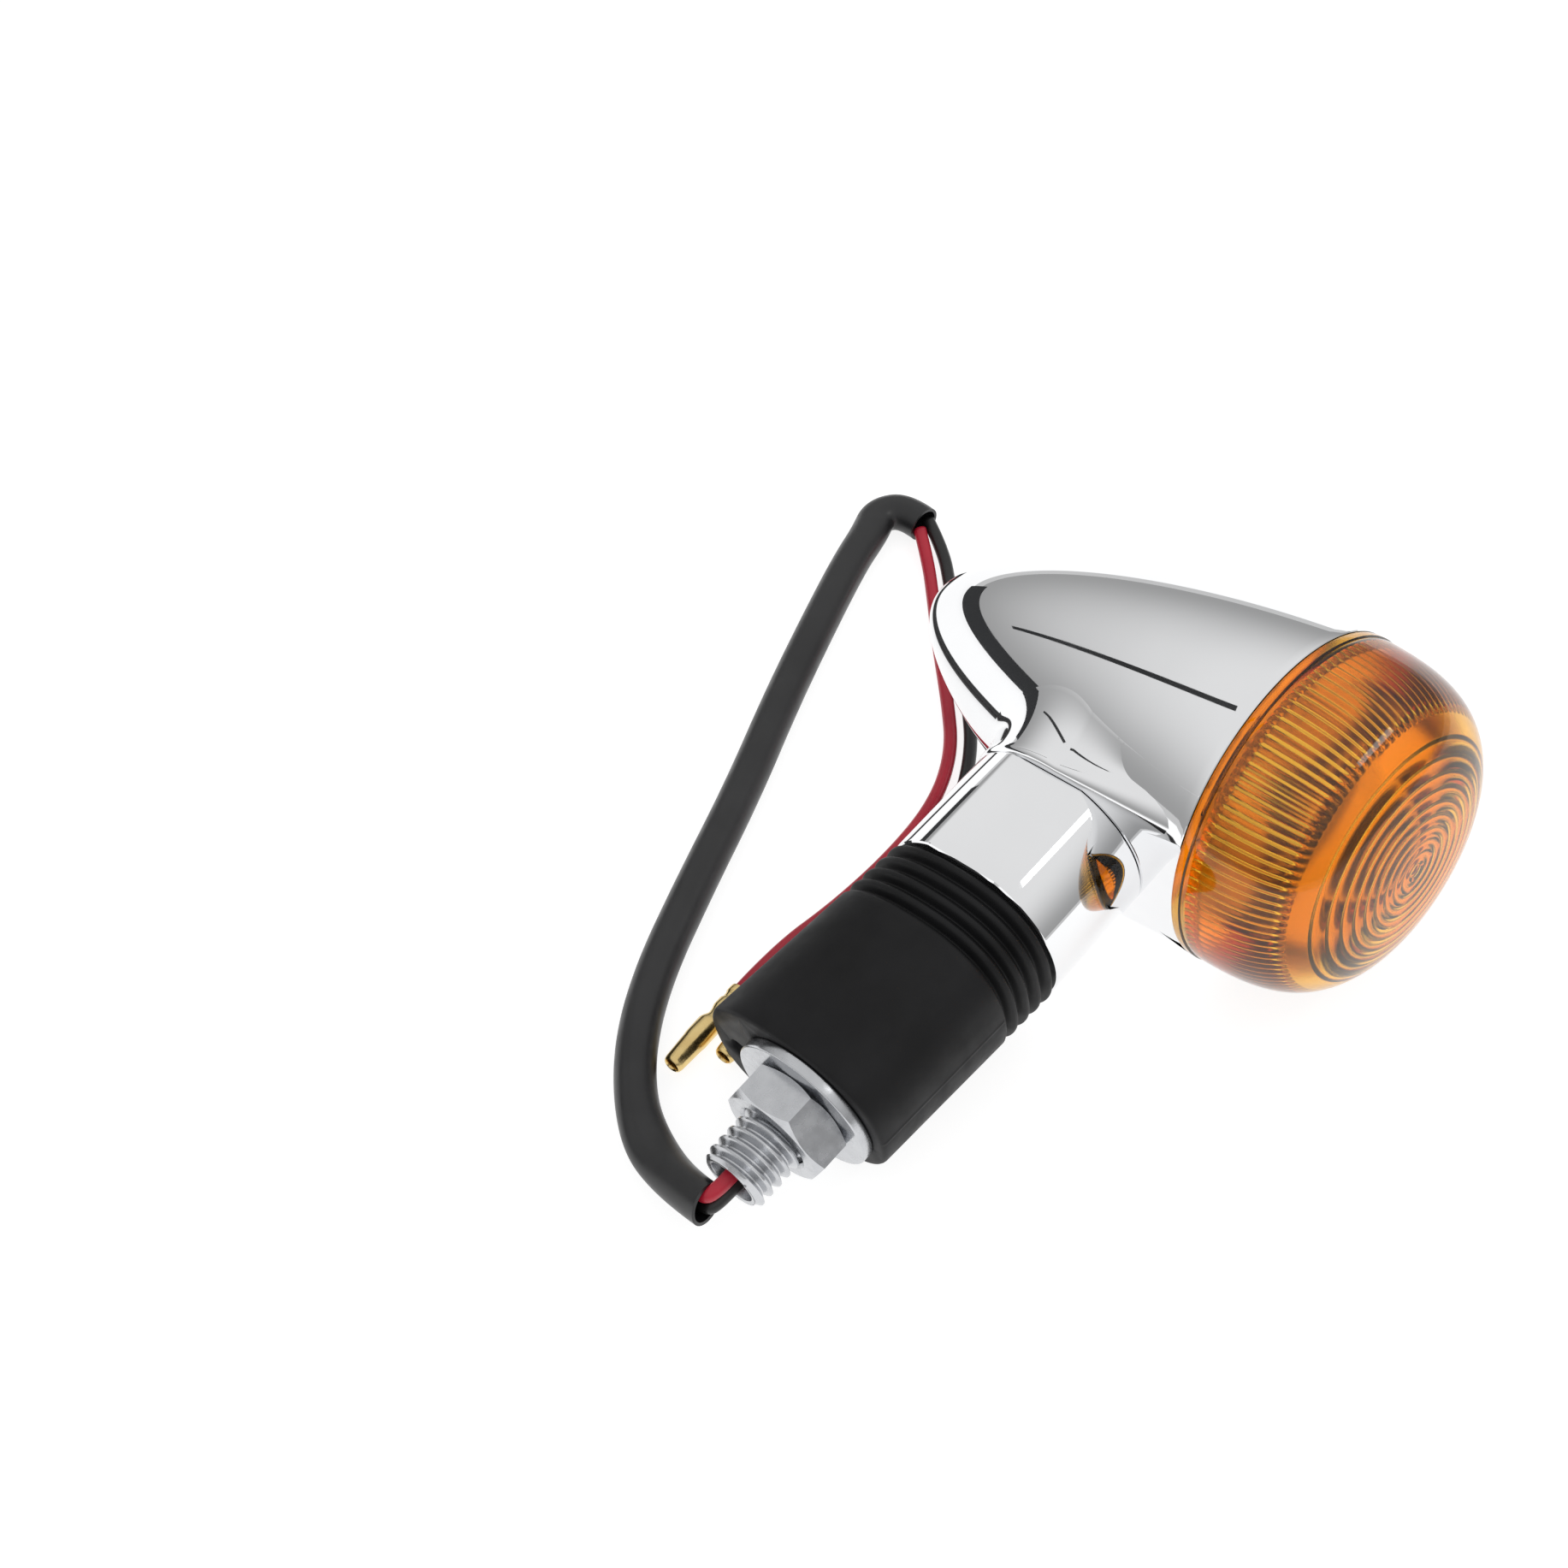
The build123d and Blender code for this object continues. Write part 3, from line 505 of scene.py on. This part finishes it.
ANGLES = boot_angles()


def boot_section(x, inset=0.0, seam=0.0):
    share = (x - STEM_FOOT_X) / (BOOT_END_X - STEM_FOOT_X)
    long = TOP_OVAL[0] + share * (END_OVAL[0] - TOP_OVAL[0]) - inset
    wide = TOP_OVAL[1] + share * (END_OVAL[1] - TOP_OVAL[1]) - inset
    points = []
    for turn in ANGLES:
        c, s = math.cos(turn), math.sin(turn)
        y = long * math.copysign(abs(c) ** (2 / OVAL_POWER), c)
        z = wide * math.copysign(abs(s) ** (2 / OVAL_POWER), s)
        y += math.copysign(seam, c) * math.exp(-(z / 0.22) ** 2)
        points.append((x, share * END_OFFSET_Y + y, z))
    return points


def rib_inset(x):
    """Rounded ribs with narrow grooves between them."""
    part = ((x - STEM_FOOT_X) / RIB_PITCH) % 1.0
    return RIB_DEPTH * abs(math.cos(math.pi * part)) ** 3.2


def build_neck():
    steps = 120
    stops = [(STEM_FOOT_X + 0.03, 3.0), (STEM_FOOT_X + 0.03, RIB_DEPTH)]
    for i in range(steps + 1):
        x = STEM_FOOT_X + 0.05 + i / steps * (NECK_END_X - STEM_FOOT_X - 0.05)
        stops.append((x, rib_inset(x)))
    stops.append((NECK_END_X, 3.0))
    return rings("ribbed_neck", [boot_section(x, inset) for x, inset in stops], STALK, 60)


def build_boot():
    groove = rib_inset(NECK_END_X - 1e-6)
    stops = [(NECK_END_X - 0.02, 3.0, 0), (NECK_END_X - 0.02, groove, 0),
             (NECK_END_X + 0.15, 0.62 * groove, 0.01), (NECK_END_X + 0.45, 0.22 * groove, 0.03),
             (NECK_END_X + 0.9, 0.0, 0.06)]
    stops += [(NECK_END_X + 0.9 + i / 24 * (BOOT_END_X - NECK_END_X - 1.6), 0.0, 0.06) for i in range(1, 25)]
    stops += [(BOOT_END_X - 0.38, 0.06, 0.05), (BOOT_END_X - 0.14, 0.2, 0.03), (BOOT_END_X - 0.01, 0.5, 0.0),
              (BOOT_END_X, 0.9, 0.0)]
    body = rings("boot_body", [boot_section(*stop) for stop in stops], STALK, 40)
    past = BOOT_END_X + 3
    drill = lathe("drill", [(0, BOOT_END_X - 7), (DRAIN_RADIUS, BOOT_END_X - 7), (DRAIN_RADIUS, past), (0, past)],
                  STALK @ Matrix.Translation((0, DRAIN_Y, 0)), axis="X", count=48, closed=False)
    wide = STUD_BORE + 1.4
    bore = lathe("bore", [(0, BOOT_END_X - 12), (wide, BOOT_END_X - 12), (wide, past), (0, past)],
                 STALK, axis="X", count=48, closed=False)
    for tool in (drill, bore):
        change = body.modifiers.new("hole", "BOOLEAN")
        change.operation, change.object, change.solver = "DIFFERENCE", tool, "EXACT"
        bpy.context.view_layer.objects.active = body
        bpy.ops.object.modifier_apply(modifier=change.name)
        bpy.data.objects.remove(tool)
    return body


neck = build_neck()
neck.data.materials.append(RUBBER)
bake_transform(neck)
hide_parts("rubber_neck")
dress(build_boot(), RUBBER, "mount", ["rubber_boot"])


# ---- stud, washer and nut ---------------------------------------------------------------
def thread_radius(part):
    """Crest, flank, root and flank over one pitch."""
    if part < 0.5:
        rise = min(max((part - 0.06) / 0.34, 0.0), 1.0)
    else:
        rise = min(max((0.94 - part) / 0.34, 0.0), 1.0)
    return STUD_ROOT + (STUD_RADIUS - STUD_ROOT) * rise


def build_stud():
    start, end, around = BOOT_END_X - 1.0, STUD_END_X, 72
    parts = (0.0, 0.06, 0.15, 0.28, 0.37, 0.42, 0.58, 0.63, 0.72, 0.85, 0.94)
    turns = int((end - start) / PITCH_X) + 3
    points = []
    for turn in range(turns):
        for part in parts:
            for j in range(around + 1):
                x = start + PITCH_X * (turn - 1 + part + j / around)
                held = min(max(x, start), end)
                reach = min(thread_radius(part), 3.98 + max(end - held, 0.0) * 1.1)
                angle = 2 * math.pi * j / around
                points.append((held, reach * math.cos(angle), reach * math.sin(angle)))
    faces = sheet_faces(turns * len(parts), around + 1, closed_columns=False)
    skin = recalculated(make("thread", points, faces, STALK, 32))
    ring = [(3.99, end - 0.02), (3.9, end), (STUD_BORE + 0.28, end), (STUD_BORE + 0.06, end - 0.1),
            (STUD_BORE, end - 0.3), (STUD_BORE, start + 1), (3.6, start + 1), (3.7, end - 0.4)]
    tube = lathe("stud_bore", ring, STALK, axis="X", count=96)
    return joined("stud_thread", [skin, tube])


def build_nut():
    start, end = WASHER_END_X + 0.01, NUT_END_X
    around, face = 144, NUT_FLAT * 0.975
    sections = []

    def ring(radius_of, x_of):
        section = []
        for j in range(around):
            turn = 2 * math.pi * j / around
            from_flat = (turn - NUT_TURN + math.pi / 6) % (math.pi / 3) - math.pi / 6
            corner = NUT_FLAT / math.cos(from_flat)
            radius = radius_of(corner)
            section.append((x_of(corner), radius * math.cos(turn), radius * math.sin(turn)))
        sections.append(section)

    drop = 0.60
    ring(lambda c: STUD_RADIUS + 0.06, lambda c: start)
    ring(lambda c: face, lambda c: start)
    ring(lambda c: c, lambda c: start + (c - face) * drop)
    ring(lambda c: c, lambda c: end - (c - face) * drop)
    ring(lambda c: face, lambda c: end)
    ring(lambda c: STUD_RADIUS + 0.55, lambda c: end)
    ring(lambda c: STUD_RADIUS + 0.06, lambda c: end - 0.45)
    return rings("jam_nut", sections, STALK, 24, caps=False, closed=True)


dress(build_stud(), ZINC, "mount", ["threaded_stud"])
dress(build_nut(), ZINC, "nut", ["hex_nut"])
WASHER = softened([(WASHER_BORE, BOOT_END_X + 0.01), (WASHER_RADIUS, BOOT_END_X + 0.01),
                   (WASHER_RADIUS, WASHER_END_X), (WASHER_BORE, WASHER_END_X)], 0.3)
dress(lathe("plain_washer", WASHER, STALK, axis="X", count=160, crease=35), ZINC, "washer",
      ["flat_washer"])


# ---- cords ------------------------------------------------------------------------------
def spline(name, route, depth=0.0):
    """A curve through a route's places, in metres on the surface."""
    data = bpy.data.curves.new(name, "CURVE")
    data.dimensions = "3D"
    data.resolution_u = 24
    data.bevel_depth = depth * MM
    data.bevel_resolution = 8
    data.use_fill_caps = True
    line = data.splines.new("NURBS")
    line.points.add(len(route) - 1)
    for place, point in zip(route, line.points):
        point.co = (*(SURFACE @ Vector(place)), 1)
    line.order_u = 3
    line.use_endpoint_u = True
    obj = bpy.data.objects.new(name, data)
    bpy.context.scene.collection.objects.link(obj)
    return obj


def line_of(curve):
    """The places that a curve's own line runs through."""
    depth, curve.data.bevel_depth = curve.data.bevel_depth, 0.0
    bpy.context.view_layer.update()
    evaluated = curve.evaluated_get(bpy.context.evaluated_depsgraph_get())
    mesh = bpy.data.meshes.new_from_object(evaluated)
    places = [v.co.copy() for v in mesh.vertices]
    bpy.data.meshes.remove(mesh)
    curve.data.bevel_depth = depth
    return places


def length_of(places):
    return sum((b - a).length for a, b in zip(places, places[1:]))


def wire(name, route, looks, node):
    """A round wire along a route, with the places that its line runs through."""
    curve = spline(name + "_line", route, LEAD_RADIUS)
    path = line_of(curve)
    bpy.context.view_layer.update()
    mesh = bpy.data.meshes.new_from_object(curve.evaluated_get(bpy.context.evaluated_depsgraph_get()))
    bpy.data.objects.remove(curve)
    return dress(recalculated(finish_mesh(name, mesh, 40)), looks, "mount", [node]), path


def pinch(share, middle, spread):
    return math.exp(-((share - middle) / spread) ** 2)


def build_sleeve(places):
    """Thin soft tubing, pinched near both ends and cut on a slant at the mouth by the stud."""
    count, outer, wall = 40, 2.8, 0.45
    mouth_slant, slant_reach, slant_turn = 2.0, 3, 0.6
    total = length_of(places)
    run, outside, inside = 0.0, [], []
    for i, place in enumerate(places):
        ahead = places[min(i + 1, len(places) - 1)] - places[max(i - 1, 0)]
        ahead.normalize()
        side = ahead.cross(Vector((0, 0, 1))).normalized()
        up = side.cross(ahead)
        if i:
            run += (place - places[i - 1]).length
        share = run / total
        dent = 0.26 * pinch(share, 0.09, 0.045) + 0.10 * pinch(share, 0.93, 0.03)
        slant = mouth_slant * max(1 - run / (slant_reach * MM), 0.0)
        for radius, store in ((outer, outside), (outer - wall, inside)):
            section = []
            for j in range(count):
                turn = 2 * math.pi * j / count
                wide, tall = radius * (1 + 0.5 * dent), radius * (1 - dent)
                lip = slant * (0.5 - 0.5 * math.cos(turn + slant_turn))
                section.append(place + (side * wide * math.cos(turn) + up * tall * math.sin(turn)
                                        - ahead * lip) * MM)
            store.append(section)
    sections = outside + inside[::-1]
    return rings("sleeve_tube", sections, Matrix.Identity(4), 50, closed=True)


sleeve_line = spline("sleeve_line", SLEEVE_ROUTE)
sleeve_path = line_of(sleeve_line)
bpy.data.objects.remove(sleeve_line)
sleeve = dress(build_sleeve(sleeve_path), PLASTIC, "mount", ["cord_sleeve"])


def on_surface(x, side):
    """A place on the stalk's axis pair, measured as the routes are."""
    return SURFACE.inverted() @ (STALK @ Vector((x, 0, side * PAIR)))


def exit_route(side):
    mouth, after = Vector(SLEEVE_ROUTE[0]), Vector(SLEEVE_ROUTE[1])
    along = (after - mouth).normalized()
    above = (Vector((0, 0, 1)) - along * along.z).normalized()
    end = mouth + above * side * PAIR
    return [on_surface(LEAD_SPLIT_X - 8, side), on_surface(LEAD_SPLIT_X, side), on_surface(STUD_EXIT_X, side),
            end, end + along * 6]


red_exit, _ = wire("red_exit_lead", exit_route(1), RED, "red_exit_wire")
black_exit, _ = wire("black_exit_lead", exit_route(-1), BLACK, "black_exit_wire")
red, red_path = wire("red_lead_end", RED_ROUTE, RED, "red_wire")
black, black_path = wire("black_lead_end", BLACK_ROUTE, BLACK, "black_wire")


def build_connector(name, route):
    """A bullet terminal: crimped barrel, shoulder, and a nose rolled from sheet with an open end."""
    start = Vector(route[-1])
    heading = (start - Vector(route[-2])).normalized()
    side = heading.cross(Vector((0, 0, 1)))
    turn = Matrix((side, heading, (0, 0, 1))).transposed().to_4x4()
    place = SURFACE @ Matrix.Translation(start) @ turn
    profile = [(1.05, -0.6), (1.32, -0.6), (1.38, -0.3), (1.38, 0.6), (1.22, 0.9), (1.22, 1.7), (1.4, 2.0),
               (1.4, 3.4), (1.15, 4.2), (1.15, 4.9), (1.5, 5.6), (1.7, 6.2), (1.7, 9.0), (1.62, 9.6),
               (1.42, 13.4), (1.30, 13.85), (1.12, 14.0), (0.98, 13.85), (0.95, 13.5), (0.95, 9.0),
               (0.6, 8.9), (0.6, 5.0), (1.05, 4.0)]
    return lathe(name, profile, place, axis="Y", count=48, crease=40)


red_end = dress(build_connector("red_bullet", RED_ROUTE), BRASS, "mount", ["red_connector"])
black_end = dress(build_connector("black_bullet", BLACK_ROUTE), BRASS, "mount", ["black_connector"])

# ---- CAD nodes that are shown as they are ---------------------------------------------------
INSIDE = {"reflector": DISH, "socket_shell": STEEL, "contact_spring": STEEL, "bulb_base": BRASS,
          "bulb_glass": GLASS, "bulb_filament": STEEL, "bulb_contact": STEEL, "bulb_cap_glass": BLACK,
          "socket_insulator": BOARD, "centre_contact": BRASS, "ground_terminal": BRASS,
          "stem_nut": ZINC, "stem_lock_washer": ZINC, "lens_gasket": BLACK}
for node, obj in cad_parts.items():
    if node in INSIDE or "lead" in node:
        obj.data.materials.clear()
        obj.data.materials.append(INSIDE.get(node) or (RED if node.startswith("red") else BLACK))


# ---- stage, light and camera -----------------------------------------------------------------
TABLE_REACH, TABLE_GLOW = 0.42, 0.85


def stepped(tree, value, edge, soft):
    """0 below an edge and 1 above it."""
    node = tree.nodes.new("ShaderNodeMapRange")
    node.interpolation_type = "SMOOTHSTEP"
    node.inputs["From Min"].default_value = edge
    node.inputs["From Max"].default_value = edge + soft
    tree.links.new(value, node.inputs["Value"])
    return node.outputs["Result"]


def sum_of(tree, operation, first, second):
    node = tree.nodes.new("ShaderNodeMath")
    node.operation = operation
    for socket, value in zip(node.inputs, (first, second)):
        if isinstance(value, (int, float)):
            socket.default_value = value
        else:
            tree.links.new(value, socket)
    return node.outputs[0]


def build_stage():
    """A white table, evenly lit, that ends in a dimmer surround."""
    mesh = bpy.data.meshes.new("floor")
    mesh.from_pydata([(-3, -3, 0), (3, -3, 0), (3, 3, 0), (-3, 3, 0)], [], [(0, 1, 2, 3)])
    floor = bpy.data.objects.new("floor", mesh)
    bpy.context.scene.collection.objects.link(floor)
    made, tree, shader = material("white_floor")
    place = tree.nodes.new("ShaderNodeTexCoord")
    lengths = tree.nodes.new("ShaderNodeVectorMath")
    lengths.operation = "LENGTH"
    tree.links.new(place.outputs["Object"], lengths.inputs[0])
    far = stepped(tree, lengths.outputs["Value"], TABLE_REACH, 0.05)
    glow = sum_of(tree, "SUBTRACT", TABLE_GLOW, sum_of(tree, "MULTIPLY", far, 0.6 * TABLE_GLOW))
    shader.inputs["Base Color"].default_value = (0.34, 0.34, 0.34, 1)
    shader.inputs["Roughness"].default_value = 0.9
    shader.inputs["Specular IOR Level"].default_value = 0.05
    shader.inputs["Emission Color"].default_value = (1, 1, 1, 1)
    tree.links.new(glow, shader.inputs["Emission Strength"])
    mesh.materials.append(made)


def build_world():
    """Grey walls, lighter upward."""
    world = bpy.data.worlds.new("studio")
    bpy.context.scene.world = world
    world.use_nodes = True
    tree = world.node_tree
    place = tree.nodes.new("ShaderNodeTexCoord")
    parts = tree.nodes.new("ShaderNodeSeparateXYZ")
    tree.links.new(place.outputs["Generated"], parts.inputs[0])
    height = stepped(tree, parts.outputs["Z"], 0.0, 0.75)
    strength = sum_of(tree, "ADD", 0.36, sum_of(tree, "MULTIPLY", height, 0.46))
    background = tree.nodes["Background"]
    background.inputs["Color"].default_value = (1, 1, 1, 1)
    tree.links.new(strength, background.inputs["Strength"])


def dark_card(name, y, corners):
    """A dark card facing the indicator, seen only as a mirrored shape in the chrome."""
    made, _, shader = material(name)
    shader.inputs["Base Color"].default_value = (0.012, 0.013, 0.015, 1)
    mesh = bpy.data.meshes.new(name)
    mesh.from_pydata([(x, y, z) for x, z in corners], [], [tuple(range(len(corners)))])
    card = bpy.data.objects.new(name, mesh)
    card.visible_camera = False
    bpy.context.scene.collection.objects.link(card)
    mesh.materials.append(made)


def lamp(name, place, target, size, watts):
    data = bpy.data.lights.new(name, "AREA")
    data.shape, data.energy = "RECTANGLE", watts
    data.size, data.size_y = size
    obj = bpy.data.objects.new(name, data)
    bpy.context.scene.collection.objects.link(obj)
    obj.location = place
    toward = (Vector(target) - Vector(place)).normalized()
    along = (Vector((1, 0, 0)) - toward * toward.x).normalized()
    obj.rotation_euler = Matrix((along, (-toward).cross(along), -toward)).transposed().to_euler()


def build_camera():
    data = bpy.data.cameras.new("camera")
    data.sensor_width, data.lens = 36.0, 54.48
    data.clip_start, data.clip_end = 0.01, 10
    camera = bpy.data.objects.new("camera", data)
    bpy.context.scene.collection.objects.link(camera)
    turn = Matrix(((-0.66527, -0.58713, 0.46119), (0.7466, -0.52316, 0.41095), (0, 0.61772, 0.7864)))
    place = (Vector((186.327, 98.607, 268.231)) + SHIFT) * MM
    camera.matrix_world = Matrix.Translation(place) @ turn.to_4x4()
    bpy.context.scene.camera = camera


build_stage()
build_world()
dark_card("table_edge", -0.26, [(-0.12, 0.004), (0.22, 0.004), (0.22, 0.058), (-0.12, 0.034)])
dark_card("lamp_stand", -0.60, [(0.006, 0.15), (0.022, 0.15), (0.040, 0.76), (-0.014, 0.76)])
lamp("softbox", (-0.24, 0.30, 0.52), (0, 0, 0), (0.34, 0.06), 0.22)
build_camera()
bpy.context.scene.view_settings.view_transform = "Standard"
